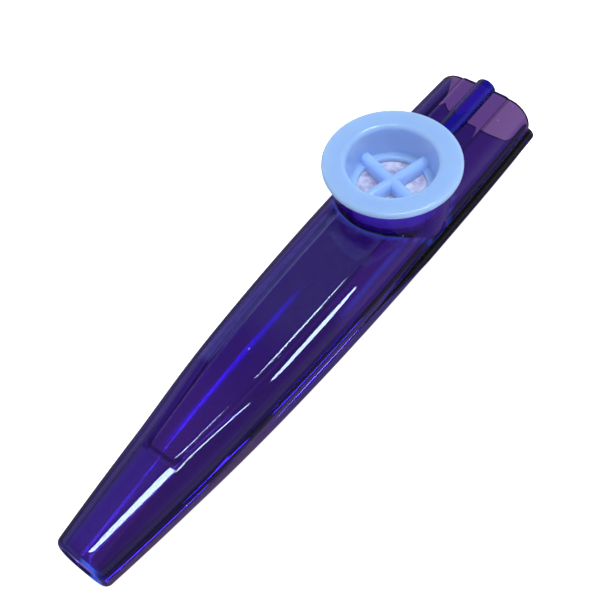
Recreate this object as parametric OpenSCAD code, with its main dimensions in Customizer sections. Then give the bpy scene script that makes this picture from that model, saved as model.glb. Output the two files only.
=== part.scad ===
// A kazoo: two moulded half shells that taper from a wide open mouthpiece to a
// narrow outlet, a round turret on top, a push-in cap, and the humming membrane
// on its ring inside the turret. X runs from the outlet to the mouthpiece and
// Z is up. The origin is on the table, under the middle of the body.

/* [Body] */
// Length from the outlet to the mouthpiece
body_l = 120; // [105:1:140]
// Width at the narrow outlet
outlet_w = 11; // [10:0.1:13]
// Width where the body is widest
widest_w = 21.8; // [20:0.1:24]
// Width at the open mouthpiece
mouth_w = 21.2; // [19.5:0.1:24]
// Height at the open mouthpiece
mouth_h = 14.5; // [13:0.1:17]
// Height of the top of the outlet above the table
outlet_top = 10; // [9.4:0.1:12]
// Lift of the underside at the outlet
outlet_rise = 1.3; // [0.4:0.1:2]
// Thickness of the shell walls
wall = 1.5; // [1.2:0.05:1.8]
// Radius of the upper long edges at the mouthpiece
mouth_edge_r = 5.1; // [4:0.1:5.6]
// Radius that the upper long edges narrow to at the outlet
outlet_edge_r = 3.5; // [3:0.1:3.9]
// Radius of the lower long edges
keel_r = 5.2; // [4.4:0.1:5.6]
// Upright part of the side walls beside the seam's bead
side_flat = 0.55; // [0.4:0.05:0.7]
// Rounding of the outlet's rim
lip_r = 1.1; // [0.6:0.05:1.2]
// Rounding of the mouthpiece's rim
rim_r = 0.35; // [0.2:0.05:0.6]

/* [Seam] */
// Radius of the bead along both sides at the mouthpiece
bead_r = 1.3; // [0.8:0.1:1.6]
// Radius of the thin line that the bead fades into
seam_line_r = 0.16; // [0.1:0.02:0.3]
// Distance from the outlet at which the bead starts to grow
bead_start = 66; // [58:1:72]
// Length over which the bead grows
bead_fade = 16; // [10:1:20]
// Gap of the welded joint between the shells
weld_gap = 0.04; // [0.02:0.01:0.08]
// Clearance between the tongue and the wall it laps
lap_gap = 0.1; // [0.05:0.01:0.15]

/* [Top] */
// Height of the long panel above the land round it
panel_lift = 0.35; // [0.2:0.05:0.5]
// Distance of the panel's end from the outlet
panel_start = 20.9; // [17:0.1:25]
// Width of the panel at the turret
panel_w = 10.5; // [9:0.1:11.5]
// Width of the slope at the panel's edges
panel_slope = 0.5; // [0.3:0.05:0.6]
// Radius of the panel's corners
panel_corner_r = 1.1; // [0.9:0.1:1.4]
// Width of the land ahead of the panel
land_w = 0.9; // [0.7:0.1:1.5]
// Width of the rib behind the turret
rib_w = 4.3; // [3:0.1:5]
// Height of the rib above the top
rib_h = 1.9; // [1.2:0.1:2.1]

/* [Turret] */
// Distance of the turret's axis from the mouthpiece
turret_back = 33.2; // [31:0.1:38]
// Outer diameter of the turret
turret_d = 22; // [21.2:0.1:24]
// Height of the turret above the top of the body
turret_h = 6.7; // [5.5:0.1:9]
// Diameter of the turret's bore
bore_d = 19.3; // [18:0.1:20]
// Diameter of the throat under the membrane
throat_d = 15; // [13:0.1:16]
// Depth of the membrane's ledge under the top of the body
ledge_sink = 0.2; // [0:0.05:0.4]
// Radius of the fillet around the turret's foot
foot_r = 0.9; // [0.5:0.1:1.2]

/* [Cap] */
// Diameter of the cap's flange
flange_d = 26; // [24:0.1:30]
// Thickness of the flange
flange_t = 1.4; // [1:0.1:2]
// Thickness of the wall round the bowl, below its rounded mouth
bowl_wall = 1.08; // [0.9:0.02:1.4]
// Slope of the bowl's wall, as the drop in radius from mouth to floor
bowl_draft = 0.35; // [0:0.05:0.5]
// Rounding of the bowl's mouth
bowl_mouth_r = 0.9; // [0.5:0.1:1.2]
// Diameter of the window in the bowl's floor
window_d = 13.4; // [11:0.1:13.8]
// Thickness of the bowl's floor
floor_t = 1.1; // [0.8:0.1:1.5]
// Width of the bars of the cross
bar_w = 2.2; // [1.4:0.1:2.6]
// Height of the bars above the floor
bar_rise = 1.65; // [1.2:0.05:2.2]
// Turn of the cross about the turret's axis, in degrees
cross_turn = -16; // [-45:1:45]
// Radial clearance of the cap in the bore
cap_gap = 0.07; // [0.03:0.01:0.1]

/* [Membrane] */
// Thickness of the membrane's ring
ring_t = 0.5; // [0.4:0.05:0.8]
// Width of the ring
ring_w = 1.9; // [1.6:0.1:2.2]
// Clearance around the ring in the bore
ring_gap = 0.3; // [0.2:0.05:0.4]
// Thickness of the film
film_t = 0.1; // [0.06:0.01:0.15]
// Distance of the film's edge from the ring's edge
film_inset = 0.3; // [0.1:0.05:0.5]

/* [Hidden] */
$fn = 96;

// Shapes of the long curves, as shares of the length or as powers
widest_share = 0.8;
crest_share = 0.75;
rise_share = 0.35;
width_power = 2.35;
height_power = 1.65;
seam_share = 0.5;
lap_share = 0.5;
panel_reach_share = 0.6;
panel_power = 2.2;
blank_panel_share = 0.22;
corner_shares = [0.6, 1, 2];
crown_share = 0.2;
flat_share = 0.42;
step_share = 0.6;
hollow_share = 0.6;
foot_sink_share = 0.07;

// Segments of the arcs in a section
edge_steps = 7;
inner_steps = 4;
bead_steps = 2;
rim_steps = 3;
foot_steps = 3;
drum_steps = 5;
foot_turns = 48;
// Spacing of the plain sections along the body
station_step = 6;
// How far a cutting shape runs past what it cuts
overrun = 1;

// Radius of the cap's small edges
flange_edge_r = 0.6;
plug_lead = 0.4;
bowl_foot_r = 0.5;
window_edge_r = 0.25;
cap_steps = 5;

turret_at = body_l - turret_back;
turret_x = turret_at - body_l / 2;
turret_r = turret_d / 2;
bore_r = bore_d / 2;
turret_top = mouth_h + turret_h;
ledge_z = mouth_h - ledge_sink;
ring_top = ledge_z + ring_t;
film_top = ring_top + film_t;
floor_top = film_top + floor_t;
cap_top = turret_top + flange_t;
ring_r = bore_r - ring_gap;
plug_r = bore_r - cap_gap;
bowl_r = plug_r - bowl_wall;

// Curves of the body, at the distance d from the outlet

function half_w(d) =
    d < widest_share * body_l
    ? (widest_w - (widest_w - outlet_w) * pow(1 - d / (widest_share * body_l), width_power)) / 2
    : (widest_w - (widest_w - mouth_w)
        * pow((d - widest_share * body_l) / ((1 - widest_share) * body_l), 2)) / 2;

function top_z(d) =
    d < crest_share * body_l
    ? mouth_h - (mouth_h - outlet_top) * pow(1 - d / (crest_share * body_l), height_power)
    : mouth_h;

function under_z(d) =
    d < rise_share * body_l ? outlet_rise * pow(1 - d / (rise_share * body_l), 2) : 0;

function seam_z(d) = under_z(d) + seam_share * (top_z(d) - under_z(d));

function edge_r(d) =
    outlet_edge_r + (mouth_edge_r - outlet_edge_r) * min(1, d / (widest_share * body_l));

// A smooth step from 0 to 1
function eased(t) = let (s = max(0, min(1, t))) s * s * (3 - 2 * s);

function bead(d) =
    seam_line_r + (bead_r - seam_line_r) * eased((d - bead_start) / bead_fade);

// How far a round rim of radius r draws the outline in, at the distance d from its end
function rim_inset(d, r) = d >= r ? 0 : r - sqrt(r * r - (r - d) * (r - d));

function inset(d) = rim_inset(d, lip_r) + rim_inset(body_l - d, rim_r);

land_start = panel_start - land_w;

// How flat the top is, from 0 where it is a round crown near the outlet to 1
function flatness(d) =
    step_share * eased((d - land_start) / (land_w + 2 * panel_corner_r))
    + (1 - step_share) * eased((d - crown_share * body_l) / ((flat_share - crown_share) * body_l));

// Height left for a corner above or below the bead
function upper_room(d) = top_z(d) - seam_z(d) - side_flat - bead(d);

function lower_room(d) = seam_z(d) - under_z(d) - side_flat - bead(d);

// Width and height of the corners, which are quarters of ellipses
function upper_corner(d) =
    let (f = flatness(d), w = half_w(d), r = edge_r(d), room = upper_room(d))
    [w + (r - w) * f, room + (min(r, room) - room) * f];

function lower_corner(d) = [min(keel_r, half_w(d)), min(keel_r, lower_room(d))];

// Half width of the long panel
function panel_half(d) =
    panel_w / 2 * (1 - pow(max(0, 1 - d / (panel_reach_share * body_l)), panel_power));

// The panel's edge with its round corners, and a place ahead of it where the crown is round
function panel_edge(d) =
    let (along = d - panel_start, r = panel_corner_r)
    along < 0
    ? blank_panel_share * half_w(d)
    : panel_half(d) - r + sqrt(pow(r, 2) - pow(max(0, r - along), 2));

// Distance of a place outside the panel's edge, less than 0 on the panel
function off_panel(d, y) =
    let (ahead = panel_start + panel_corner_r - d, aside = y - panel_half(d) + panel_corner_r)
    ahead > 0 && aside > 0
    ? sqrt(ahead * ahead + aside * aside) - panel_corner_r
    : max(panel_start - d, y - panel_half(d));

// The land lies under the top's own curve, and the panel rises from it
function land_sink(d) = panel_lift * eased((d - land_start) / panel_slope + 1 / 2);

function panel_rise(d, y) = panel_lift * eased(1 / 2 - off_panel(d, y) / panel_slope);

// Drop of a quarter ellipse of width and height c, at the distance past its start
function quarter(past, c) = c[1] * (1 - sqrt(max(0, 1 - pow(max(0, past) / c[0], 2))));

// Height of the body's outer surface at the distance d and the half width y
function skin_z(d, y, drawn = 0) =
    let (c = upper_corner(d))
    top_z(d) - drawn - quarter(y - half_w(d) + c[0], [c[0] - drawn, c[1] - drawn])
    - land_sink(d) + panel_rise(d, y);

// Sections across the body, as points [y, z]

function arc(y, z, r, from, to, steps) =
    [for (i = [0:steps]) let (a = from + (to - from) * i / steps) [y + r * cos(a), z + r * sin(a)]];

// A quarter of an ellipse of width and height c, from the side at y to the level z
function corner(y, z, c, steps, up = 1) =
    [for (i = [0:steps]) let (a = 90 * i / steps)
        [y - c[0] + c[0] * cos(a), z - up * c[1] * (1 - sin(a))]];

// Places across the top, from the side at w to the place p, closest at the side
function across(w, p) = [for (i = [0:edge_steps]) p + (w - p) * cos(90 * i / edge_steps)];

function other_side(points) = [for (p = points) [-p[0], p[1]]];

function reversed(points) = [for (i = [len(points) - 1:-1:0]) points[i]];

// A closed outline from the outer and inner lines of its +Y half, both from the seam.
// The lines have as many points each, so that a section's end faces are strips.
function shell_outline(outer, inner) =
    concat(outer, reversed(other_side(outer)), other_side(inner), reversed(inner));

// Middle of the wall at the seam, where the lap joint steps
function lap_y(d) = half_w(d) - wall + lap_share * (wall - inset(d));

// Height of the lap joint, within the straight part of the inner wall
function lap_h(d) = lap_share * (top_z(d) - seam_z(d) - upper_corner(d)[1]);

function upper_outline(d) =
    let (drawn = inset(d), w = half_w(d) - drawn, s = seam_z(d) + weld_gap / 2, c = upper_corner(d),
         p = panel_edge(d), y = half_w(d) - wall, out = p + panel_slope / 2, in = p - panel_slope / 2)
    shell_outline(
        concat(arc(w, s, bead(d), 0, 90, bead_steps),
               [for (q = concat(across(w, out), [in])) [q, skin_z(d, q, drawn)]]),
        concat([[lap_y(d), s], [lap_y(d), s + lap_h(d)], [y, s + lap_h(d)]],
               [for (q = concat(across(y, out), [in]))
                    [q, top_z(d) - wall - quarter(q - y + c[0] - wall, [c[0] - wall, c[1] - wall])]]));

function lower_outline(d) =
    let (drawn = inset(d), w = half_w(d) - drawn, s = seam_z(d) - weld_gap / 2, y = half_w(d) - wall,
         c = lower_corner(d), t = lap_y(d) - lap_gap, tip = s + lap_h(d) - lap_gap)
    reversed(shell_outline(
        concat([[t, tip], [t, s]],
               arc(w, s, bead(d), 0, -90, bead_steps),
               corner(w, under_z(d) + drawn, [c[0] - drawn, c[1] - drawn], edge_steps, -1)),
        concat([[y, tip]],
               [for (i = [1:bead_steps + 2]) [y, s - bead(d) * i / (bead_steps + 2)]],
               corner(y, under_z(d) + wall, [c[0] - wall, c[1] - wall], edge_steps, -1))));

// The body's hollow above the seam, grown into the wall
function hollow_outline(d) =
    let (grown = wall * (1 - hollow_share), y = half_w(d) - grown, c = upper_corner(d),
         half = concat([[y, seam_z(d) - overrun]],
                       corner(y, top_z(d) - grown, [c[0] - grown, c[1] - grown], inner_steps)))
    concat(half, reversed(other_side(half)));

// Distances from the outlet at which sections stand

function rim_stations(r) = [for (i = [0:rim_steps]) r * (1 - cos(90 * i / rim_steps))];

function plain_stations(from, to) =
    let (n = max(1, ceil((to - from) / station_step)))
    [for (i = [1:n]) from + (to - from) * i / n];

upper_stations = concat(
    rim_stations(lip_r),
    plain_stations(lip_r, land_start - panel_slope / 2),
    [land_start + panel_slope / 2, panel_start - panel_slope / 2, panel_start + panel_slope / 2],
    [for (t = corner_shares) panel_start + t * panel_corner_r],
    plain_stations(panel_start + max(corner_shares) * panel_corner_r, body_l - rim_r),
    [for (t = reversed(rim_stations(rim_r))) if (t < rim_r) body_l - t]);

lower_stations = concat(
    rim_stations(lip_r),
    plain_stations(lip_r, body_l - rim_r),
    [for (t = reversed(rim_stations(rim_r))) if (t < rim_r) body_l - t]);

// A solid through a row of like outlines, each given as points in space
module loft(rings) {
    n = len(rings[0]);
    m = len(rings);
    polyhedron(
        points = [for (ring = rings) each ring],
        faces = concat(
            [for (i = [0:n / 2 - 2]) each [[i, i + 1, n - 1 - i], [i + 1, n - 2 - i, n - 1 - i]]],
            [for (i = [0:n / 2 - 2]) let (a = (m - 1) * n)
                each [[a + i, a + n - 1 - i, a + i + 1], [a + i + 1, a + n - 1 - i, a + n - 2 - i]]],
            [for (k = [0:m - 2], i = [0:n - 1])
                let (a = k * n + i, b = k * n + (i + 1) % n) each [[a, a + n, b], [b, a + n, b + n]]]),
        convexity = 6);
}

function upright(d, outline) = [for (p = outline) [d - body_l / 2, p[0], p[1]]];

// The fillet around the turret's foot, as a ring of outlines that follow the skin.
// It shrinks to nothing where the turret stands flush with the body's sides.
function foot_room(a) =
    let (side = abs(sin(a)))
    min(foot_r, max(seam_line_r, (half_w(turret_at) - seam_line_r) / max(side, 1 / foot_turns) - turret_r));

function foot_outline(a) =
    let (f = foot_room(a), sunk = foot_sink_share * foot_r, out = turret_r + f - sunk,
         d = turret_at + out * cos(a),
         low = skin_z(d, min(half_w(d), out * abs(sin(a)))) - sunk,
         line = concat(
            [[turret_r - foot_r, low - wall / 2], [out, low - wall / 2]],
            [for (i = [0:foot_steps]) let (b = 90 * i / foot_steps)
                [out - f * sin(b), low + f - f * cos(b)]],
            [[turret_r - foot_r, low + f]]))
    [for (p = line) [turret_x + p[0] * cos(a), p[0] * sin(a), p[1]]];

module turret_foot() {
    rings = [for (k = [0:foot_turns - 1]) foot_outline(360 * k / foot_turns)];
    n = len(rings[0]);
    polyhedron(
        points = [for (ring = rings) each ring],
        faces = [for (k = [0:foot_turns - 1], i = [0:n - 1])
            let (a = k * n + i, b = k * n + (i + 1) % n,
                 c = ((k + 1) % foot_turns) * n + i, e = ((k + 1) % foot_turns) * n + (i + 1) % n)
            each [[a, b, c], [b, e, c]]],
        convexity = 6);
}

// The turret's drum, which fills the shoulders under it down to the bead
module turret_drum() {
    low = seam_z(turret_at) + bead(turret_at) / 2;
    reach = turret_r + overrun;
    difference() {
        translate([turret_x, 0, low]) cylinder(r = turret_r, h = turret_top - low);
        loft([for (i = [0:drum_steps])
            let (d = turret_at + reach * (2 * i / drum_steps - 1)) upright(d, hollow_outline(d))]);
    }
}

// The half-round rib on the top, from the turret to the mouthpiece
module rear_rib() {
    from = turret_x + bore_r + (turret_r - bore_r) / 2;
    intersection() {
        translate([from, 0, mouth_h + rib_h - rib_w / 2])
            rotate([0, 90, 0]) cylinder(d = rib_w, h = body_l / 2 - from);
        translate([from - overrun, -rib_w, mouth_h - wall / 2])
            cube([body_l / 2 - from + 2 * overrun, 2 * rib_w, rib_w + rib_h]);
    }
}

module upper_shell() {
    color([0.2, 0.12, 0.6, 0.6]) difference() {
        union() {
            loft([for (d = upper_stations) upright(d, upper_outline(d))]);
            turret_drum();
            turret_foot();
            rear_rib();
        }
        translate([turret_x, 0, ledge_z]) cylinder(r = bore_r, h = turret_top - ledge_z + overrun);
        translate([turret_x, 0, seam_z(turret_at)]) cylinder(d = throat_d, h = mouth_h);
    }
}

module lower_shell() {
    color([0.2, 0.12, 0.6, 0.6])
        loft([for (d = lower_stations) upright(d, lower_outline(d))]);
}

// One bar of the cross, with a round top, whose ends run into the bowl's wall
module cross_bar() {
    reach = bowl_r + bowl_wall / 2;
    low = film_top + floor_t / 2;
    middle = floor_top + bar_rise - bar_w / 2;
    translate([-reach, 0, middle]) rotate([0, 90, 0]) cylinder(d = bar_w, h = 2 * reach);
    translate([-reach, -bar_w / 2, low]) cube([2 * reach, bar_w, middle - low]);
}

// Half section of the cap, from the window down, around the plug and the flange
cap_outline = concat(
    [[window_d / 2, film_top], [plug_r - plug_lead, film_top], [plug_r, film_top + plug_lead],
     [plug_r, turret_top]],
    arc(flange_d / 2 - flange_edge_r, turret_top + flange_edge_r, flange_edge_r, -90, 0, cap_steps),
    arc(flange_d / 2 - flange_edge_r, cap_top - flange_edge_r, flange_edge_r, 0, 90, cap_steps),
    arc(bowl_r + bowl_mouth_r, cap_top - bowl_mouth_r, bowl_mouth_r, 90, 180, cap_steps),
    reversed(arc(bowl_r - bowl_draft - bowl_foot_r, floor_top + bowl_foot_r, bowl_foot_r,
                 -90, 0, cap_steps)),
    arc(window_d / 2 + window_edge_r, floor_top - window_edge_r, window_edge_r, 90, 180, cap_steps));

module turret_cap() {
    color([0.75, 0.86, 1]) translate([turret_x, 0, 0]) {
        rotate_extrude() polygon(cap_outline);
        rotate([0, 0, cross_turn]) cross_bar();
        rotate([0, 0, cross_turn + 90]) cross_bar();
    }
}

module membrane_ring() {
    color([0.85, 0.87, 0.9]) translate([turret_x, 0, ledge_z]) rotate_extrude()
        translate([ring_r - ring_w, 0]) square([ring_w, ring_t]);
}

module membrane() {
    color([0.8, 0.8, 0.88, 0.7]) translate([turret_x, 0, ring_top])
        cylinder(r = ring_r - film_inset, h = film_t);
}

upper_shell();
lower_shell();
turret_cap();
membrane_ring();
membrane();
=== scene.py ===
"""Dresses the kazoo's frame with clear moulded shells, a cap and a humming film, and sets its stage."""

import math

import bpy
from mathutils import Matrix, Vector, noise


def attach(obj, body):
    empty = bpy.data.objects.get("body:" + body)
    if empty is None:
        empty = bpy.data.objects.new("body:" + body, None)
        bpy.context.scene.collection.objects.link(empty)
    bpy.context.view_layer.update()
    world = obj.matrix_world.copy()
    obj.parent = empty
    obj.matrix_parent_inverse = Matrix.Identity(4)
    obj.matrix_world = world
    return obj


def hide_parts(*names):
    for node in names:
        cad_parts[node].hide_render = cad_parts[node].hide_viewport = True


bl_info = {
    "name": "Kazoo",
    "version": (1, 0, 0),
    "blender": (4, 5, 0),
    "location": "View3D > Sidebar > Kazoo",
    "description": "Makes a clear moulded kazoo with its cap and film",
    "category": "Object",
}

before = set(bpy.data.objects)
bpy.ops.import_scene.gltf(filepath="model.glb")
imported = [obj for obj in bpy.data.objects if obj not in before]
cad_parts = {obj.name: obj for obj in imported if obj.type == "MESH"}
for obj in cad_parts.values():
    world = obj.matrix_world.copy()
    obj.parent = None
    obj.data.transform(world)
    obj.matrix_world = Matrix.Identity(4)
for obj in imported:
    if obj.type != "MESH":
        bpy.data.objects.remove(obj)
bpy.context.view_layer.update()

MM = 0.001
MERGE = 0.0001 * MM
OVERRUN = 1 * MM
SMOOTH_ANGLE = math.radians(38)
SHELL_STEP = 1.5 * MM
HOLLOW_STEP = 1.2 * MM
FLOOR_SIZE = 6
FLOOR_DROP = 0.03 * MM
SENSOR = 36
CREASE_SIZE = 3.5 * MM


def length(name, description, default):
    """A size property, given in millimetres."""
    return bpy.props.FloatProperty(
        name=name, description=description, default=default * MM, unit="LENGTH", precision=5
    )


def share(name, description, default):
    """A property without a unit."""
    return bpy.props.FloatProperty(name=name, description=description, default=default, precision=3)


def colour(name, description, default):
    """A colour property."""
    return bpy.props.FloatVectorProperty(
        name=name, description=description, default=default, subtype="COLOR", size=3, min=0, max=1
    )


def turn(name, description, default):
    """An angle property, given in degrees."""
    return bpy.props.FloatProperty(
        name=name, description=description, default=math.radians(default), subtype="ANGLE"
    )


class KazooBodySizes(bpy.types.PropertyGroup):
    """Sizes of the two shells."""

    body_l: length("Length", "From the outlet to the mouthpiece", 120)
    outlet_w: length("Outlet width", "Width at the narrow outlet", 11)
    widest_w: length("Widest", "Width where the body is widest", 21.8)
    mouth_w: length("Mouthpiece width", "Width at the open mouthpiece", 21.2)
    mouth_h: length("Height", "Height at the open mouthpiece", 14.5)
    outlet_top: length("Outlet top", "Height of the outlet's top above the table", 10)
    outlet_rise: length("Outlet rise", "Lift of the underside at the outlet", 1.3)
    wall: length("Wall", "Thickness of the shell walls", 1.5)
    mouth_edge_r: length("Edge radius", "Radius of the upper long edges at the mouthpiece", 5.1)
    outlet_edge_r: length("Outlet edge radius", "Radius that the upper edges narrow to", 3.5)
    keel_r: length("Lower edge radius", "Radius of the lower long edges", 4.8)
    side_flat: length("Flat side", "Upright part of the wall beside the bead", 0.55)
    lip_r: length("Lip", "Rounding of the outlet's rim", 1.1)
    rim_r: length("Rim", "Rounding of the mouthpiece's rim", 0.35)
    inner_rim_r: length("Inner rim", "Rounding of the inner edge at both ends", 0.3)
    bead_r: length("Bead", "Radius of the bead along the seam at the mouthpiece", 1.3)
    seam_line_r: length("Seam line", "Radius of the thin line that the bead fades into", 0.16)
    bead_start: length("Bead start", "Distance from the outlet at which the bead grows", 66)
    bead_fade: length("Bead fade", "Length over which the bead grows", 16)
    bead_fillet: length("Bead fillet", "Radius where the bead meets the wall", 0.35)
    weld_gap: length("Weld gap", "Gap of the welded joint", 0.04)
    lap_gap: length("Lap gap", "Clearance of the lapped tongue", 0.1)
    panel_lift: length("Panel lift", "Height of the long panel above the land round it", 0.35)
    panel_start: length("Panel start", "Distance of the panel's end from the outlet", 20.9)
    panel_w: length("Panel width", "Width of the panel at the turret", 10.5)
    panel_slope: length("Panel slope", "Width of the rounding at the panel's edge", 1.0)
    crown_lift: length("Crown lift", "Height of the round crown over the panel's level", 0.3)
    crease_blend: length("Crease blend", "Height over which the crown blends into the land", 0.12)
    panel_corner_r: length("Panel corner", "Radius of the panel's corners", 1.1)
    land_w: length("Land", "Width of the sunk land ahead of the panel", 0.9)
    rib_w: length("Rib width", "Width of the rib behind the turret", 4.3)
    rib_h: length("Rib height", "Height of the rib above the top", 1.9)
    rib_fillet: length("Rib fillet", "Blend at the rib's foot", 0.35)
    widest_share: share("Widest at", "Where the body is widest, as a share of its length", 0.8)
    crest_share: share("Crest at", "Where the top levels out, as a share of the length", 0.75)
    rise_share: share("Rise to", "Where the underside meets the table, as a share", 0.35)
    width_power: share("Width power", "How fast the sides straighten", 2.35)
    height_power: share("Height power", "How fast the top straightens", 1.65)
    seam_share: share("Seam at", "Height of the seam, as a share of the section", 0.5)
    lap_share: share("Lap", "Size of the lap joint, as a share of the wall", 0.5)
    panel_reach_share: share("Panel reach", "Where the panel is widest, as a share of the length", 0.6)
    panel_power: share("Panel power", "How fast the panel's sides straighten", 2.2)
    crown_share: share("Crown end", "Where the cut crown starts to sink, as a share of the length", 0.21)
    flat_share: share("Flat top", "Where the top is as flat as it gets, as a share", 0.36)


class KazooTurretSizes(bpy.types.PropertyGroup):
    """Sizes of the turret, its cap and the film."""

    turret_back: length("Turret place", "Distance of the axis from the mouthpiece", 33.2)
    turret_d: length("Turret diameter", "Outer diameter of the turret", 22)
    turret_h: length("Turret height", "Height above the top of the body", 6.7)
    turret_edge_r: length("Turret edge", "Rounding of the turret's rim", 0.3)
    bore_d: length("Bore", "Diameter of the turret's bore", 19.3)
    throat_d: length("Throat", "Diameter of the throat under the film", 15)
    ledge_sink: length("Ledge", "Depth of the ledge under the top of the body", 0.2)
    foot_r: length("Foot fillet", "Radius of the fillet round the turret's foot", 0.9)
    flange_d: length("Flange", "Diameter of the cap's flange", 26)
    flange_t: length("Flange thickness", "Thickness of the flange", 1.4)
    flange_edge_r: length("Flange edge", "Rounding of the flange's edge", 0.6)
    bowl_d: length("Bowl", "Diameter of the bowl below its rounded mouth", 17)
    bowl_draft: length("Bowl draft", "Slope of the bowl's wall", 0.35)
    bowl_mouth_r: length("Bowl mouth", "Rounding of the bowl's mouth", 0.9)
    bowl_foot_r: length("Bowl foot", "Fillet at the bowl's floor", 0.5)
    window_d: length("Window", "Diameter of the window", 13.4)
    window_edge_r: length("Window edge", "Rounding of the window's edge", 0.25)
    floor_t: length("Floor", "Thickness of the bowl's floor", 1.1)
    plug_lead: length("Plug lead", "Chamfer of the plug's lower edge", 0.4)
    cap_gap: length("Cap gap", "Radial clearance of the cap", 0.07)
    bar_w: length("Bar width", "Width of the bars of the cross", 2.2)
    bar_rise: length("Bar height", "Height of the bars above the floor", 1.65)
    ring_t: length("Ring", "Thickness of the film's ring", 0.5)
    ring_gap: length("Ring gap", "Clearance round the ring", 0.3)
    film_t: length("Film", "Thickness of the film", 0.1)
    film_inset: length("Film inset", "Distance of the film's edge from the ring's edge", 0.3)
    film_wrinkle: length("Film wrinkle", "Height of the film's wrinkles", 0.12)
    cross_turn: turn("Cross turn", "Turn of the cross about the turret's axis", -16)


class KazooFinishes(bpy.types.PropertyGroup):
    """Colours of the plastics, the film and the stage, and of the light and shade painted on the shells and
    the cap.
    """

    shell_tint: colour("Shell tint", "Colour that the clear plastic lets through", (0.34, 0.06, 0.775))
    shell_depth: share("Shell depth", "Strength of the tint, per millimetre", 1.4)
    # Painted light: emission for the blue streak along the panel and the blue of the rib.
    painted_blue_light: colour("Glow", "Light that the thick plastic gathers", (0.004, 0.0, 0.36))
    # Painted light: emission for a blue glow round the turret's foot and a blue line on the right near the
    # turret.
    painted_foot_light: colour("Foot glow", "Light that the small edges gather", (0.005, 0.025, 0.24))
    # Painted light: emission for a blue glint along the outlet's rim.
    painted_lip_light: colour("Lip glow", "Light that the outlet's rim gathers", (0.02, 0.08, 0.45))
    # Painted light: emission for a violet band on the turret under the flange.
    painted_turret_light: colour("Turret glow", "Light under the flange", (0.03, 0.0, 0.22))
    # Painted light: emission for a cloudy glow ahead of the panel and on the outlet's rim.
    painted_front_light: colour("Haze", "Cloudy light ahead of the panel", (0.002, 0.004, 0.06))
    # Painted reflection: emission for a pale band on the left shoulder.
    painted_shoulder_reflection: colour("Shoulder", "Pale light on the left shoulder", (0.02, 0.025, 0.07))
    # Painted reflection: emission for a faint pale sheen on the panel.
    painted_panel_reflection: colour("Panel haze", "Pale haze on the panel", (0.004, 0.01, 0.0))
    # Painted reflection: emission for a pale mauve on the side walls.
    painted_side_reflection: colour("Side haze", "Pale haze on the side walls", (0.035, 0.02, 0.045))
    # Painted shade: the darker tint at the panel's edges, ahead of the turret, beside the panel and on the
    # right wall; it also darkens the outlet's rim and the zone ahead of the panel.
    painted_shade_tint: colour("Deep tint", "Tint where the plastic looks deepest", (0.12, 0.06, 0.25))
    # The pale dust specks are emission, so their paleness is painted light.
    speck_grey: colour("Specks", "Light of the pale specks on the skin", (0.3, 0.33, 0.4))
    mirrored_tone: colour("Mirrored tone", "Tone of the table's reflection", (0.6, 0.5, 0.75))
    # Painted light: an even glow over the whole cap.
    painted_cap_light: colour("Cap glow", "Light that passes through the cap's plastic", (0.05, 0.07, 0.13))
    cap_colour: colour("Cap", "Colour of the cap's plastic", (0.39, 0.54, 0.84))
    film_light: colour("Film light", "Pale parts of the film", (0.95, 0.82, 0.86))
    film_dark: colour("Film dark", "Dark parts of the film", (0.4, 0.3, 0.42))
    ring_colour: colour("Ring", "Colour of the film's ring", (0.6, 0.62, 0.68))
    floor_colour: colour("Floor", "Colour of the pale floor", (0.85, 0.85, 0.85))
    mirrored_strength: share("Mirrored table", "Strength of the table's reflection", 0.35)
    table_tone: colour("Table tone", "Tone of the floor through the clear plastic", (0.84, 0.8, 0.475))


class KazooStageSizes(bpy.types.PropertyGroup):
    """The camera's place and the light."""

    camera_x: length("Camera X", "The camera's place", -78.14)
    camera_y: length("Camera Y", "The camera's place", -72.35)
    camera_z: length("Camera Z", "The camera's place", 161.74)
    camera_yaw: turn("Yaw", "Heading of the camera from +X", 43.48)
    camera_pitch: turn("Pitch", "How far the camera looks down", 54.96)
    camera_roll: turn("Roll", "Tilt of the camera", -6.94)
    camera_lens: share("Lens", "Focal length on a 36 mm sensor", 61.437)
    sky_colour: colour("Sky", "Colour of the even light", (0.9, 0.95, 1.0))
    sky_low: share("Low sky", "Strength of the light from the sides", 0.5)
    sky_high: share("High sky", "Strength of the light from above", 0.14)
    sky_fade_low: share("Sky fade start", "Height, as a sine, above which the light fades", 0.25)
    sky_fade_high: share("Sky fade end", "Height, as a sine, where it is as low as it gets", 0.7)
    lamp_height: length("Lamp height", "Height of the two long lamps", 970)
    front_lamp_x: length("Front lamp X", "Middle of the front lamp", -20)
    front_lamp_y: length("Front lamp Y", "Middle of the front lamp", -124)
    front_lamp_l: length("Front lamp length", "Length of the front lamp", 520)
    front_lamp_w: length("Front lamp width", "Width of the front lamp", 115)
    front_lamp_turn: turn("Front lamp turn", "Turn of the front lamp from the body's length", -60.4)
    rear_lamp_x: length("Rear lamp X", "Middle of the rear lamp", 307)
    rear_lamp_y: length("Rear lamp Y", "Middle of the rear lamp", -185)
    rear_lamp_l: length("Rear lamp length", "Length of the rear lamp", 225)
    rear_lamp_w: length("Rear lamp width", "Width of the rear lamp", 320)
    lamp_radiance: share("Lamp brightness", "Radiance of the long lamps", 27)
    lamp_colour: colour("Lamp colour", "Colour of the long lamps", (0.62, 0.82, 1.0))


def body_sizes():
    """The shells' sizes."""
    return bpy.context.scene.kazoo_body


def turret_sizes():
    """The turret's and cap's sizes."""
    return bpy.context.scene.kazoo_turret


def finishes():
    """The colours."""
    return bpy.context.scene.kazoo_finishes


# Curves of the body, at the distance d from the outlet


def eased(t):
    """A smooth step from 0 to 1."""
    t = max(0.0, min(1.0, t))
    return t * t * (3 - 2 * t)


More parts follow.
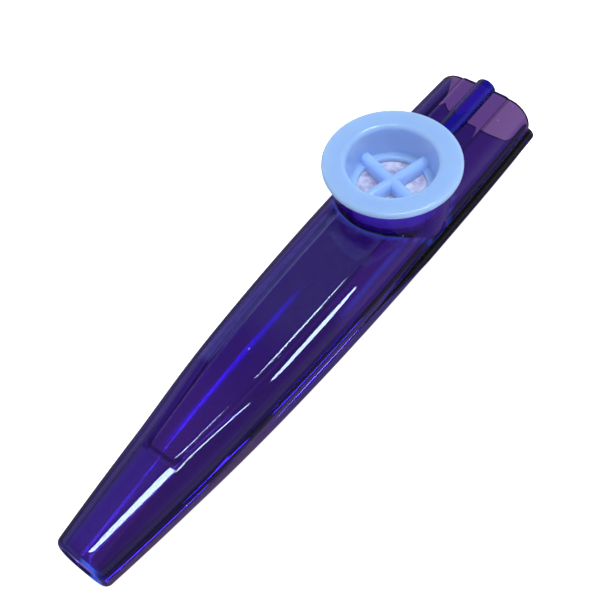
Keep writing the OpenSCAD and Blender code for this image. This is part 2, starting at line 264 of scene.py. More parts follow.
def half_w(b, d):
    """Half the body's width."""
    widest = b.widest_share * b.body_l
    if d < widest:
        return (b.widest_w - (b.widest_w - b.outlet_w) * (1 - d / widest) ** b.width_power) / 2
    return (b.widest_w - (b.widest_w - b.mouth_w) * ((d - widest) / (b.body_l - widest)) ** 2) / 2


def top_z(b, d):
    """Height of the top."""
    crest = b.crest_share * b.body_l
    if d >= crest:
        return b.mouth_h
    return b.mouth_h - (b.mouth_h - b.outlet_top) * (1 - d / crest) ** b.height_power


def under_z(b, d):
    """Height of the underside."""
    level = b.rise_share * b.body_l
    return b.outlet_rise * (1 - d / level) ** 2 if d < level else 0.0


def seam_z(b, d):
    """Height of the seam."""
    return under_z(b, d) + b.seam_share * (top_z(b, d) - under_z(b, d))


def edge_r(b, d):
    """Radius of the upper long edges where the top is flat."""
    return b.outlet_edge_r + (b.mouth_edge_r - b.outlet_edge_r) * min(1, d / (b.widest_share * b.body_l))


def land_start(b):
    """Where the land is cut into the crown."""
    return b.panel_start - b.land_w


def crown_z(b, d):
    """Height of the crown, which the land cuts off and which sinks to it towards the turret."""
    start, flat = land_start(b), b.flat_share * b.body_l
    if d < start:
        return top_z(b, d) + b.crown_lift * d / start
    sinking = eased((d - b.crown_share * b.body_l) / (flat - b.crown_share * b.body_l))
    return top_z(b, d) - b.panel_lift + (b.panel_lift + b.crown_lift) * (1 - sinking)


def upper_corner(b, d):
    """Width and height of the upper corner, a quarter of an ellipse that starts as half the crown."""
    room = crown_z(b, d) - seam_z(b, d) - b.side_flat - bead(b, d)
    flat = eased((d - b.panel_start) / (b.flat_share * b.body_l - b.panel_start))
    w, r = half_w(b, d), edge_r(b, d)
    return w + (r - w) * flat, room + (min(r, room) - room) * flat


def lower_corner(b, d):
    """Width and height of the lower corner, which is a quarter of an ellipse."""
    room = seam_z(b, d) - under_z(b, d) - b.side_flat - bead(b, d)
    return min(b.keel_r, half_w(b, d)), min(b.keel_r, room)


def bead(b, d):
    """Radius of the seam's bead."""
    return b.seam_line_r + (b.bead_r - b.seam_line_r) * eased((d - b.bead_start) / b.bead_fade)


def rim_inset(d, r):
    """How far a round rim of radius r draws a section in, at the distance d from its end."""
    return 0.0 if d >= r else r - math.sqrt(max(0.0, r * r - (r - d) ** 2))


def both_rims(b, d, outlet_r, mouth_r):
    """How far the rims at the two ends move a section's outline."""
    return rim_inset(max(0, d), outlet_r) + rim_inset(max(0, b.body_l - d), mouth_r)


def inset(b, d):
    """How far the two rims draw the outer section in."""
    return both_rims(b, d, b.lip_r, b.rim_r)


def flared(b, d):
    """How far the rounded inner edges open the hollow."""
    return both_rims(b, d, b.inner_rim_r, b.inner_rim_r)


def turret_at(b, t):
    """Distance of the turret's axis from the outlet."""
    return b.body_l - t.turret_back


def soft_max(first, second, blend):
    """The larger of two heights, with a round blend where they meet."""
    h = max(blend - abs(first - second), 0.0) / blend
    return max(first, second) + h * h * blend / 4


def panel_half(b, d):
    """Half the panel's width."""
    reach = b.panel_reach_share * b.body_l
    return b.panel_w / 2 * (1 - max(0.0, 1 - d / reach) ** b.panel_power)


def panel_rise(b, d, y):
    """Height over the land round the panel: 0 on the land, and the lift on the panel."""
    half = panel_half(b, d)
    ahead, aside = b.panel_start + b.panel_corner_r - d, abs(y) - half + b.panel_corner_r
    if ahead > 0 and aside > 0:
        inside = b.panel_corner_r - math.hypot(ahead, aside)
    else:
        inside = min(d - b.panel_start, half - abs(y))
    across_edge = max(0.0, min(1.0, inside / b.panel_slope))
    return b.panel_lift * math.sqrt(1 - (1 - across_edge) ** 2)


def land_z(b, d):
    """Height of the plane that cuts the crown; ahead of the land it passes over the crown."""
    cut = eased(0.5 + (d - land_start(b)) / b.crease_blend / 3)
    over, land = crown_z(b, d) + b.crease_blend, top_z(b, d) - b.panel_lift
    return over - (over - land) * cut


def quarter(past, a, c):
    """Drop of a quarter ellipse of width a and height c, at the distance past its start."""
    return c * (1 - math.sqrt(max(0.0, 1 - (max(0.0, past) / a) ** 2)))


def skin_z(b, d, y, drawn=0.0):
    """Height of the upper shell's skin, drawn in at the rims."""
    a, c = upper_corner(b, d)
    crown = crown_z(b, d) - quarter(abs(y) - half_w(b, d) + a, a - drawn, c - drawn)
    return -soft_max(-crown, -land_z(b, d), b.crease_blend) - drawn + panel_rise(b, d, y)


def rib_start(b, t):
    """Where the rear rib leaves the turret's wall."""
    return turret_at(b, t) + (t.bore_d + t.turret_d) / 4


def rib_rise(b, t, d, y):
    """Height of the rear rib above the top."""
    if d < rib_start(b, t):
        return 0.0
    r = b.rib_w / 2
    crown = math.sqrt(max(0.0, r * r - y * y)) + b.rib_h - r if abs(y) < r else -r
    return soft_max(crown, 0.0, b.rib_fillet)


# Sections across the body, as points (y, z) of the +Y half


def arc(y, z, r, start, end, steps):
    """Points on an arc, angles in degrees."""
    turns = [math.radians(start + (end - start) * i / steps) for i in range(steps + 1)]
    return [(y + r * math.cos(a), z + r * math.sin(a)) for a in turns]


def spaced(start, end, steps):
    """Even steps after start, up to end."""
    return [start + (end - start) * (i + 1) / steps for i in range(steps)]


def bead_points(b, d, w, s, side):
    """The bead and its fillet, from the seam to the wall; side is 1 upwards and -1 downwards."""
    r = bead(b, d)
    f = min(b.bead_fillet, r * 0.6)
    rise = math.sqrt((r + f) ** 2 - f * f)
    meet = math.degrees(math.atan2(rise, f))
    points = arc(w, 0, r, 0, meet, 10) + arc(w + f, rise, f, meet + 180, 180, 5)[1:]
    return [(y, s + side * z) for y, z in points]


def across(w, steps):
    """Places across a half section from the side to the middle, closest at the side."""
    return [w * (1 - (i / steps) ** 2) for i in range(1, steps + 1)]


def top_places(b, d, w):
    """Places across the top, from the side to the middle, close together at its features."""
    edge = max(panel_half(b, d), b.rib_w / 2)
    rib = b.rib_w / 2 + b.rib_fillet
    near = [edge + b.panel_slope / 10] + [edge - b.panel_slope * (i / 14) ** 2 for i in range(15)]
    return sorted(across(w, 64) + near + spaced(rib, 0, 18)[:-1], reverse=True)


def upper_half(b, t, d):
    """Outer half section of the upper shell, from the seam to the middle of the top."""
    drawn = inset(b, d)
    w, c = half_w(b, d) - drawn, upper_corner(b, d)[1]
    side = bead_points(b, d, w, seam_z(b, d) + b.weld_gap / 2, 1)
    wall = [(w, h) for h in spaced(side[-1][1], crown_z(b, d) - c, 4)]
    return side + wall + [(y, skin_z(b, d, y, drawn) + rib_rise(b, t, d, y)) for y in top_places(b, d, w)]


def lap_h(b, d):
    """Height of the lap joint, within the straight part of the inner wall."""
    return b.lap_share * (crown_z(b, d) - seam_z(b, d) - upper_corner(b, d)[1])


def hollow_half(b, d):
    """Half section of the upper shell's hollow, from below the seam to the middle of the top."""
    flare = flared(b, d)
    inside = min(max(d, 0), b.body_l)
    a, c = upper_corner(b, inside)
    y, s = half_w(b, inside) - b.wall + flare, seam_z(b, inside)
    z, level = crown_z(b, inside) - b.wall + flare, top_z(b, inside) - b.wall + flare
    lap_y = half_w(b, inside) - b.wall + b.lap_share * (b.wall - inset(b, inside))
    lap = s + b.weld_gap / 2 + lap_h(b, inside)
    a, c = a - b.wall + flare, c - b.wall + flare
    notch = [(lap_y, s - OVERRUN), (lap_y, lap), (y, lap)]
    wall = [(y, h) for h in spaced(lap, z - c, 4)]
    ceiling = [(p, z - quarter(p - y + a, a, c)) for p in across(y, 48)]
    if inside < land_start(b):
        return notch + wall + ceiling
    return notch + wall + [(p, -soft_max(-h, -level, b.crown_lift)) for p, h in ceiling]


def lower_half(b, d):
    """Outer and inner half lines of the lower shell, each from the seam to the middle.

    The flare stops short of the tongue's outer face, which would meet it at the outlet's end.
    """
    drawn = inset(b, d)
    tongue_t = b.lap_share * (b.wall - drawn) - b.lap_gap
    flare = min(flared(b, d), tongue_t - b.lap_gap / 2)
    a, c = lower_corner(b, d)
    w, z, s = half_w(b, d) - drawn, under_z(b, d) + drawn, seam_z(b, d) - b.weld_gap / 2
    tongue = half_w(b, d) - b.wall + tongue_t
    tip = s + lap_h(b, d) - b.lap_gap
    side = bead_points(b, d, w, s, -1)
    outer = [(tongue, tip), (tongue, s)] + side + [(w, h) for h in spaced(side[-1][1], z + c - drawn, 4)]
    outer += [(p, z + quarter(p - w + a - drawn, a - drawn, c - drawn)) for p in across(w, 36)]
    thick = b.wall - flare
    y, floor = half_w(b, d) - thick, under_z(b, d) + thick
    inner = [(min(y, tongue), tip)] + [(y, h) for h in spaced(tip, floor + c - thick, 6)]
    inner += [(p, floor + quarter(p - y + a - thick, a - thick, c - thick)) for p in across(y, 36)]
    return outer, inner


def mirrored(points):
    """The same line on the other side, run back."""
    return [(-y, z) for y, z in reversed(points)]


def upright(b, d, outline):
    """A section's points in space."""
    return [Vector((d - b.body_l / 2, y, z)) for y, z in outline]


def whole(b, d, half):
    """A whole section in space, from its +Y half."""
    return upright(b, d, half + mirrored(half[:-1]))


def rim_stations(r, steps):
    """Distances from an end that follow its round rim."""
    return [r * (1 - math.cos(math.pi / 2 * i / steps)) for i in range(steps + 1)]


def plain_stations(start, end, step):
    """Even stations after start, up to end."""
    return spaced(start, end, max(1, math.ceil((end - start) / step)))


def shell_stations(b, stops):
    """Stations from the outlet to the mouthpiece. stops are (start, end, step) of closer stretches."""
    line = rim_stations(b.lip_r, 10)
    for start, end, close in stops:
        line += plain_stations(line[-1], start, SHELL_STEP) + plain_stations(start, end, close)
    line += plain_stations(line[-1], b.body_l - b.rim_r, SHELL_STEP)
    return line + [b.body_l - r for r in reversed(rim_stations(b.rim_r, 6)) if r < b.rim_r]


# Modelling steps


def deselect_all():
    """Leaves edit mode with nothing selected."""
    if bpy.context.object and bpy.context.object.mode != "OBJECT":
        bpy.ops.object.mode_set(mode="OBJECT")
    bpy.ops.object.select_all(action="DESELECT")


def edit(piece):
    """Makes a piece the only one selected and opens it for editing with nothing picked."""
    deselect_all()
    bpy.context.view_layer.objects.active = piece
    piece.select_set(True)
    bpy.ops.object.mode_set(mode="EDIT")
    bpy.ops.mesh.select_all(action="DESELECT")


def tidy_mesh():
    """Merges doubles and turns the faces outwards, in edit mode."""
    bpy.ops.mesh.select_all(action="SELECT")
    bpy.ops.mesh.remove_doubles(threshold=MERGE)
    bpy.ops.mesh.normals_make_consistent(inside=False)
    bpy.ops.object.mode_set(mode="OBJECT")


def grid_over(name, rings, stations):
    """Lays a grid round a row of closed sections, with so many steps from the first one on."""
    points = len(rings[0])
    deselect_all()
    bpy.ops.mesh.primitive_grid_add(x_subdivisions=points, y_subdivisions=stations, size=1)
    piece = bpy.context.object
    piece.name = name
    for vert in piece.data.vertices:
        ring = rings[round((vert.co.y + 0.5) * stations) % len(rings)]
        vert.co = ring[round((vert.co.x + 0.5) * points) % points]
    edit(piece)
    return piece


def wrapped(name, rings):
    """Wraps a grid round a row of closed sections, joins its long edges and closes its ends."""
    piece = grid_over(name, rings, len(rings) - 1)
    bpy.ops.mesh.select_all(action="SELECT")
    bpy.ops.mesh.remove_doubles(threshold=MERGE)
    bpy.ops.mesh.select_all(action="SELECT")
    bpy.ops.mesh.fill_holes(sides=0)
    tidy_mesh()
    return piece


def looped(name, rings):
    """Wraps a grid round a closed loop of closed sections."""
    piece = grid_over(name, rings, len(rings))
    tidy_mesh()
    return piece


def turned(name, outline, x, steps):
    """Spins a closed outline of (radius, height) points round the turret's axis."""
    deselect_all()
    bpy.ops.mesh.primitive_circle_add(vertices=len(outline), fill_type="NOTHING")
    piece = bpy.context.object
    piece.name = name
    for vert, (r, z) in zip(piece.data.vertices, outline):
        vert.co = (x + r, 0, z)
    edit(piece)
    bpy.ops.mesh.select_all(action="SELECT")
    bpy.ops.mesh.spin(steps=steps, angle=2 * math.pi, center=(x, 0, 0), axis=(0, 0, 1))
    tidy_mesh()
    return piece


def drum(name, x, r, low, high, edge, steps):
    """A cylinder with a rounded top edge."""
    deselect_all()
    bpy.ops.mesh.primitive_cylinder_add(
        vertices=steps, radius=r, depth=high - low, location=(x, 0, (low + high) / 2)
    )
    bpy.ops.object.transform_apply(location=True, rotation=True, scale=True)
    piece = bpy.context.object
    piece.name = name
    if edge:
        edit(piece)
        bpy.ops.mesh.select_mode(type="EDGE")
        bpy.ops.object.mode_set(mode="OBJECT")
        points = piece.data.vertices
        for line in piece.data.edges:
            line.select = all(points[v].co.z > high - MERGE for v in line.vertices)
        bpy.ops.object.mode_set(mode="EDIT")
        bpy.ops.mesh.bevel(offset=edge, segments=4, affect="EDGES")
        bpy.ops.mesh.select_mode(type="VERT")
        bpy.ops.object.mode_set(mode="OBJECT")
    return piece


def combine(piece, tool, operation):
    """Joins a tool to a piece, or cuts it out of it."""
    before = len(piece.data.polygons)
    deselect_all()
    bpy.context.view_layer.objects.active = piece
    bpy.ops.object.modifier_add(type="BOOLEAN")
    modifier = piece.modifiers[-1]
    modifier.object = tool
    modifier.operation = operation
    modifier.solver = "MANIFOLD"
    bpy.ops.object.modifier_apply(modifier=modifier.name)
    bpy.data.objects.remove(tool)
    if len(piece.data.polygons) in (0, before):
        raise RuntimeError(f"{piece.name}: {operation} changed nothing")


def finished(piece, body, slot, material, *nodes):
    """Smooths a piece, gives it its material and hangs it on its body."""
    deselect_all()
    bpy.context.view_layer.objects.active = piece
    piece.select_set(True)
    bpy.ops.object.shade_smooth_by_angle(angle=SMOOTH_ANGLE)
    piece.data.materials.clear()
    piece.data.materials.append(material)
    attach(piece, body)
    if nodes:
        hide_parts(*nodes)
    deselect_all()
    return piece


# Pieces


def turret_foot(b, t):
    """The fillet round the turret's foot, which follows the skin and shrinks at the sides."""
    at, r, sunk = turret_at(b, t), t.turret_d / 2, 0.07 * t.foot_r
    turns, steps = 144, 8
    rings = []
    for k in range(turns):
        a = 2 * math.pi * k / turns
        side = abs(math.sin(a))
        room = (half_w(b, at) - b.seam_line_r) / max(side, 1 / turns) - r
        f = min(t.foot_r, max(b.seam_line_r, room))
        out = r + f - sunk
        d, y = at + out * math.cos(a), out * side
        low = skin_z(b, d, min(y, half_w(b, d))) - sunk
        line = [(r - t.foot_r, low - b.wall / 2), (out, low - b.wall / 2)]
        for i in range(steps + 1):
            turned_by = math.pi / 2 * i / steps
            line.append((out - f * math.sin(turned_by), low + f - f * math.cos(turned_by)))
        line.append((r - t.foot_r, low + f))
        x = at - b.body_l / 2
        rings.append([Vector((x + p * math.cos(a), p * math.sin(a), z)) for p, z in line])
    return looped("turret_foot", rings)


# Painted light and painted shade on the shells' skin: emission for streaks, glints, glows and pale
# reflections, and a darker tint, mostly painted shade. A band is its start, its end and the softness of
# both. A ramp is its start and its reach, and a bell its middle and its reach. Along is X and across is Y


def places(*values):
    """The places of a band, a ramp or a bell, given in millimetres."""
    return [value * MM for value in values]


# Painted light and a darker tint at the outlet's rim.
LIP_REACH = 0.6 * MM
LIP_BAND_ACROSS = places(-3.4, -1.8, 1.2)
LIP_DARKER = 0.95
# Painted light: the violet band on the turret under the flange.
FLANGE_BAND = places(0.4, 2.6, 0.5)
WALL_TOUCH = 0.05 * MM
SKIN_DEPTH = 0.4 * MM
# Painted shade on the inner face of the right wall.
INNER_REACH = 0.6 * MM
INNER_RAMP_ALONG = places(-35, 45)
INNER_SHADE = 0.8
# Painted reflection on both side walls, and painted shade on the right one.
SIDE_REACH = 1.2 * MM
SIDE_RAMP = places(0, 0.6)
SIDE_RAMP_ALONG = places(-28, 14)
SIDE_LEFT_SHARE = 0.4
SIDE_SHADE = 0.8
# A darker tint ahead of the panel.
FRONT_RAMP_ALONG = places(-39.4, 0.4)
FRONT_DARKER = 0.25
# Painted light: the blue streak along the panel and the blue on the rib's right side.
STREAK_SHARE = 1.2
STREAK_BELL_ACROSS = places(0.5, 0.45)
STREAK_BAND_ALONG = places(-31, -8, 9)
RIB_SHARE = 0.55
RIB_TOUCH = 0.3 * MM
RIB_RAMP_ACROSS = places(-0.4, 0.5)
# Painted light: the blue glow round the turret's foot.
FOOT_SHARE = 0.9
FOOT_BELL = places(0.25, 0.22)
# Painted light: the cloudy glow ahead of the panel.
FRONT_LIGHT_BAND_ACROSS = places(-1.2, 2.2, 1.6)
FRONT_LIGHT_BAND_ALONG = places(-57, -41, 3)
# Painted light: a blue line on the right shoulder, near the turret.
EDGE_SHARE = 0.6
EDGE_BAND_ALONG = places(3, 15, 6)
EDGE_BAND_ACROSS = places(-8.6, -8.4, 0.6)
# Painted reflection: the pale band on the left shoulder.
SHOULDER_BAND_ALONG = places(-20.8, 16, 0.4)
SHOULDER_BAND_ACROSS = places(4.9, 7.0, 0.4)
# Painted shade: the dark crescent ahead of the turret.
CRESCENT_BAND = places(1.1, 3.2, 0.3)
CRESCENT_BAND_ACROSS = places(-3.5, 5, 1.5)
CRESCENT_SHADE = 0.75
# Painted reflection: the faint pale sheen on the panel.
PANEL_BAND = places(-20, -0.3, 0.5)
PANEL_BAND_ALONG = places(-6, 12, 10)
# Painted shade: dark lines along the panel's front end and its sides.
END_EDGE_SHADE_BAND = places(-0.2, 0.55, 0.25)
END_EDGE_SHADE_STOP = -37.6 * MM
END_EDGE_SHADE = 0.97
SIDE_EDGE_SHADE_BAND = places(0.05, 0.45, 0.25)
SIDE_EDGE_SHADE_START = -38 * MM
SIDE_EDGE_SHADE = 0.7
# Painted shade: the dark band beside the panel on the right.
BESIDE_RAMP = places(0.4, 0.8)
BESIDE_BAND_ALONG = places(-70, -4, 6)
BESIDE_SHADE = 0.7


def within(value, start, end, soft):
    """1 between start and end, with soft ends outside them."""
    return eased((value - start) / soft + 1) * eased((end - value) / soft + 1)


def ramp(value, start, reach):
    """0 up to start, then a smooth rise to 1."""
    return eased((value - start) / reach)


def bell(value, middle, reach):
    """1 at the middle, with a soft fall on both sides."""
    return math.exp(-(((value - middle) / reach) ** 2))


def off_panel(b, d, y):
    """Distance of a place outside the panel's edge, less than 0 on the panel."""
    ahead, aside = b.panel_start + b.panel_corner_r - d, y - panel_half(b, d) + b.panel_corner_r
    if ahead > 0 and aside > 0:
        return math.hypot(ahead, aside) - b.panel_corner_r
    return max(b.panel_start - d, y - panel_half(b, d))


def painted_side_light_and_shade(f, place, past_side):
    """Painted reflection and painted shade in the side wall below the top: pale mauve on both walls, darker
    on the right one.
    """
    right = place.y < 0
    wall = ramp(past_side, *SIDE_RAMP) * (1 - ramp(place.x, *SIDE_RAMP_ALONG))
    return Vector(f.painted_side_reflection) * wall * (1 if right else SIDE_LEFT_SHARE), SIDE_SHADE * wall * right


def painted_top_light_and_shade(b, t, f, place, off_wall, rib):
    """Painted light, painted reflections and painted shade on the top, at off_wall from the turret's wall,
    where the rib is so high.
    """
    x, y, d = place.x, place.y, place.x + b.body_l / 2
    blue, edge_blue = Vector(f.painted_blue_light), Vector(f.painted_foot_light)
    off = off_panel(b, d, abs(y))
    front = 1 - ramp(x, *FRONT_RAMP_ALONG)
    crescent = within(off_wall, *CRESCENT_BAND) * within(y, *CRESCENT_BAND_ACROSS) * (d < turret_at(b, t))
    # Painted light: the blue streak along the panel, the rib's blue, the blue at the turret's foot and
    # beside it, the glow ahead of the panel, and painted reflections on the left shoulder and the panel.
    painted_light = blue * STREAK_SHARE * bell(y, *STREAK_BELL_ACROSS) * within(x, *STREAK_BAND_ALONG)
    painted_light *= 1 - front
    painted_light += blue * RIB_SHARE * (rib > RIB_TOUCH) * ramp(-y, *RIB_RAMP_ACROSS)
    painted_light += edge_blue * FOOT_SHARE * bell(off_wall, *FOOT_BELL)
    painted_light += edge_blue * EDGE_SHARE * within(x, *EDGE_BAND_ALONG) * within(y, *EDGE_BAND_ACROSS)
    painted_light += Vector(f.painted_front_light) * front * within(y, *FRONT_LIGHT_BAND_ACROSS) * within(x, *FRONT_LIGHT_BAND_ALONG)
    painted_light += Vector(f.painted_shoulder_reflection) * within(x, *SHOULDER_BAND_ALONG) * within(y, *SHOULDER_BAND_ACROSS)
    painted_light += Vector(f.painted_panel_reflection) * within(x, *PANEL_BAND_ALONG) * within(off, *PANEL_BAND) * (1 - crescent)
    # Painted shade: dark lines at the panel's edges, the crescent ahead of the turret and the band beside
    # the panel, and a darker tint ahead of the panel.
    beside = ramp(-y - panel_half(b, max(d, b.panel_start)), *BESIDE_RAMP) * within(x, *BESIDE_BAND_ALONG)
    darkenings = (
        END_EDGE_SHADE * within(off, *END_EDGE_SHADE_BAND) * (x < END_EDGE_SHADE_STOP),
        SIDE_EDGE_SHADE * within(off, *SIDE_EDGE_SHADE_BAND) * (x > SIDE_EDGE_SHADE_START),
        CRESCENT_SHADE * crescent,
        FRONT_DARKER * front,
        BESIDE_SHADE * beside,
    )
    return painted_light, max(darkenings)


def painted_skin_light_and_shade(b, t, place):
    """Painted light at a place on the shells' skin, as an emission colour, and how much darker its tint is
    painted, mostly as shade.
    """
    f = finishes()
    d, y = place.x + b.body_l / 2, place.y
    # Painted light: a blue glint and a cloudy glow on the outlet's rim, whose tint is also made darker.
    if d < LIP_REACH:
        return Vector(f.painted_lip_light) * within(y, *LIP_BAND_ACROSS) + Vector(f.painted_front_light), LIP_DARKER
    inside = min(d, b.body_l)
    w = half_w(b, inside)
    off_wall = math.hypot(d - turret_at(b, t), y) - t.turret_d / 2
    rib = rib_rise(b, t, d, y)
    skin = skin_z(b, inside, min(abs(y), w)) + rib
    past_side = abs(y) - w + SIDE_REACH
    below_skin = place.z < skin - SKIN_DEPTH
    # Painted light: the violet band on the turret under the flange.
    if off_wall < WALL_TOUCH and place.z > skin:
        under_flange = b.mouth_h + t.turret_h - place.z
        return Vector(f.painted_turret_light) * within(under_flange, *FLANGE_BAND) * (off_wall > -WALL_TOUCH), 0.0
    # Painted shade on the inner face of the right wall, fading out towards the mouthpiece.
    if off_wall < WALL_TOUCH or (below_skin and past_side <= 0):
        inner_wall = (abs(y) > w - b.wall - INNER_REACH) * (y < 0)
        return Vector((0, 0, 0)), INNER_SHADE * inner_wall * (1 - ramp(place.x, *INNER_RAMP_ALONG))
    if below_skin:
        return painted_side_light_and_shade(f, place, past_side)
    return painted_top_light_and_shade(b, t, f, place, off_wall, rib)


def tone_skin(piece, b, t):
    """Stores the painted light and the darker tint, mostly painted shade, on a shell's points."""
    for name, kind in (("painted_light", "FLOAT_COLOR"), ("darker_tone", "FLOAT")):
        piece.data.attributes.new(name, kind, "POINT")
    painted_light, darker_tone = piece.data.attributes["painted_light"].data, piece.data.attributes["darker_tone"].data
    for vert, light, tint in zip(piece.data.vertices, painted_light, darker_tone):
        colour_here, tint.value = painted_skin_light_and_shade(b, t, vert.co)
        light.color = (*colour_here, 1)


class KAZOO_OT_upper_shell(bpy.types.Operator):
    """Model the clear upper shell with its turret, raised panel and rib"""

    bl_idname = "kazoo.upper_shell"
    bl_label = "Upper shell"

    def execute(self, context):
        b, t = body_sizes(), turret_sizes()
        x, rib = turret_at(b, t) - b.body_l / 2, rib_start(b, t)
        stops = [
            (land_start(b) - b.crease_blend * 2, land_start(b) + b.crease_blend * 2, 0.04 * MM),
            (b.panel_start - 0.02 * MM, b.panel_start + 0.1 * MM, 0.02 * MM),
            (b.panel_start + 0.1 * MM, b.panel_start + 2 * b.panel_corner_r, 0.1 * MM),
            (rib - 0.01 * MM, rib, 0.01 * MM),
        ]
        rings = [whole(b, d, upper_half(b, t, d)) for d in shell_stations(b, stops)]
        shell = wrapped("upper_shell_clear", rings)
        low, high = seam_z(b, turret_at(b, t)) + b.bead_r / 2, b.mouth_h + t.turret_h
        combine(shell, drum("drum", x, t.turret_d / 2, low, high, t.turret_edge_r, 192), "UNION")
        combine(shell, turret_foot(b, t), "UNION")
        ends = rim_stations(b.inner_rim_r, 4)
        stations = [-OVERRUN] + ends + plain_stations(b.inner_rim_r, b.body_l - b.inner_rim_r, HOLLOW_STEP)
        stations += [b.body_l - r for r in reversed(ends) if r < b.inner_rim_r] + [b.body_l + OVERRUN]
        hollow = wrapped("hollow", [whole(b, d, hollow_half(b, d)) for d in stations])
        combine(shell, hollow, "DIFFERENCE")
        ledge = b.mouth_h - t.ledge_sink
        combine(shell, drum("bore", x, t.bore_d / 2, ledge, high + OVERRUN, 0, 192), "DIFFERENCE")
        combine(shell, drum("throat", x, t.throat_d / 2, low, high, 0, 160), "DIFFERENCE")
        tone_skin(shell, b, t)
        finished(shell, "kazoo_body", "shell_plastic", clear_plastic(), "upper_shell")
        return {"FINISHED"}


class KAZOO_OT_lower_shell(bpy.types.Operator):
    """Model the clear lower shell with its bead and lapped tongue"""

    bl_idname = "kazoo.lower_shell"
    bl_label = "Lower shell"

    def execute(self, context):
        b = body_sizes()
        rings = []
        for d in shell_stations(b, []):
            outer, inner = lower_half(b, d)
            line = list(reversed(outer)) + inner
            rings.append(upright(b, d, line[:-1] + mirrored(line[1:])))
        shell = wrapped("lower_shell_clear", rings)
        tone_skin(shell, b, turret_sizes())
        finished(shell, "kazoo_body", "shell_plastic", clear_plastic(), "lower_shell")
        return {"FINISHED"}


class KAZOO_OT_turret_cap(bpy.types.Operator):
    """Model the push-in cap with its flange, bowl, window and cross"""

    bl_idname = "kazoo.turret_cap"
    bl_label = "Turret cap"

    def execute(self, context):
        b, t = body_sizes(), turret_sizes()
        x = turret_at(b, t) - b.body_l / 2
        top = b.mouth_h + t.turret_h
        low = b.mouth_h - t.ledge_sink + t.ring_t + t.film_t
        floor = low + t.floor_t
        plug, flange = t.bore_d / 2 - t.cap_gap, t.flange_d / 2
        bowl, foot = t.bowl_d / 2, t.bowl_d / 2 - t.bowl_draft
        edge, mouth, fillet, sill = t.flange_edge_r, t.bowl_mouth_r, t.bowl_foot_r, t.window_edge_r
        outline = [(t.window_d / 2, low), (plug - t.plug_lead, low), (plug, low + t.plug_lead), (plug, top)]
        outline += arc(flange - edge, top + edge, edge, -90, 0, 8)
        outline += arc(flange - edge, top + t.flange_t - edge, edge, 0, 90, 8)
        outline += arc(bowl + mouth, top + t.flange_t - mouth, mouth, 90, 180, 10)
        outline += arc(foot - fillet, floor + fillet, fillet, 0, -90, 8)
        outline += arc(t.window_d / 2 + sill, floor - sill, sill, 90, 180, 6)
        cap = turned("turret_cap_moulded", outline, x, 160)
        for bar_turn in (t.cross_turn, t.cross_turn + math.pi / 2):
            combine(cap, cross_bar(t, x, low, floor, bar_turn), "UNION")
        finished(cap, "cap", "cap_plastic", cap_plastic(), "turret_cap")
        return {"FINISHED"}


def cross_bar(t, x, low, floor, bar_turn):
    """One bar of the cross, with a round top, whose ends run into the bowl's wall."""
    reach = (t.bowl_d / 2 + t.bore_d / 2 - t.cap_gap) / 2
    r = t.bar_w / 2
    middle = floor + t.bar_rise - r
    section = [(r, low)] + arc(0, middle, r, 0, 180, 24) + [(-r, low)]
    rings = []
    for along in [-reach] + spaced(-reach, reach, 24):
        point = [Vector((along, y, z)) for y, z in section]
        rings.append([Matrix.Rotation(bar_turn, 3, "Z") @ p + Vector((x, 0, 0)) for p in point])
    return wrapped("bar", rings)


class KAZOO_OT_membrane(bpy.types.Operator):
    """Model the crinkled film and finish its ring"""

    bl_idname = "kazoo.membrane"
    bl_label = "Membrane"

    def execute(self, context):
        b, t = body_sizes(), turret_sizes()
        x = turret_at(b, t) - b.body_l / 2
        low = b.mouth_h - t.ledge_sink + t.ring_t
        r = t.bore_d / 2 - t.ring_gap - t.film_inset
        free = t.window_d / 2 - t.bar_w / 4
        deselect_all()
        steps = 140
        bpy.ops.mesh.primitive_grid_add(x_subdivisions=steps, y_subdivisions=steps, size=2)
        film = bpy.context.object
        film.name = "membrane_film"
        for vert in film.data.vertices:
            u, v = vert.co.x, vert.co.y
            place = Vector((u * math.sqrt(1 - v * v / 2), v * math.sqrt(1 - u * u / 2), 0)) * r
            away = eased((free - place.length) / (free / 4))
            crease = noise.ridged_multi_fractal(place / CREASE_SIZE, 0.9, 2.1, 4, 1.0, 2.0)
            height = t.film_wrinkle * away * (crease - 1.2) * 0.5
            vert.co = place + Vector((x, 0, low + height))
        bpy.ops.object.modifier_add(type="SOLIDIFY")
        film.modifiers[-1].thickness = t.film_t
        film.modifiers[-1].offset = 1
        bpy.ops.object.modifier_apply(modifier=film.modifiers[-1].name)
        edit(film)
        tidy_mesh()
        finished(film, "resonator", "membrane_film", film_material(), "membrane")
        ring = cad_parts["membrane_ring"]
        ring.data.materials.clear()
        ring.data.materials.append(ring_plastic())
        return {"FINISHED"}


# Materials


def new_material(name):
    """A material with its shader, its node list and a way to add and join nodes."""
    material = bpy.data.materials.new(name)
    material.use_nodes = True
    nodes = material.node_tree.nodes
    return material, nodes, material.node_tree.links, nodes["Principled BSDF"]


def noise_node(nodes, links, coordinates, scale, detail, rough=0.5):
    """A noise pattern on the piece's own coordinates, scale in features per metre."""
    node = nodes.new("ShaderNodeTexNoise")
    node.inputs["Scale"].default_value = scale
    node.inputs["Detail"].default_value = detail
    node.inputs["Roughness"].default_value = rough
    links.new(coordinates.outputs["Object"], node.inputs["Vector"])
    return node


def spread(nodes, links, source, low, high, floor=0.0, ceiling=1.0):
    """Maps a pattern's middle range to a value range."""
    node = nodes.new("ShaderNodeMapRange")
    node.inputs["From Min"].default_value = low
    node.inputs["From Max"].default_value = high
    node.inputs["To Min"].default_value = floor
    node.inputs["To Max"].default_value = ceiling
    links.new(source, node.inputs["Value"])
    return node.outputs["Result"]


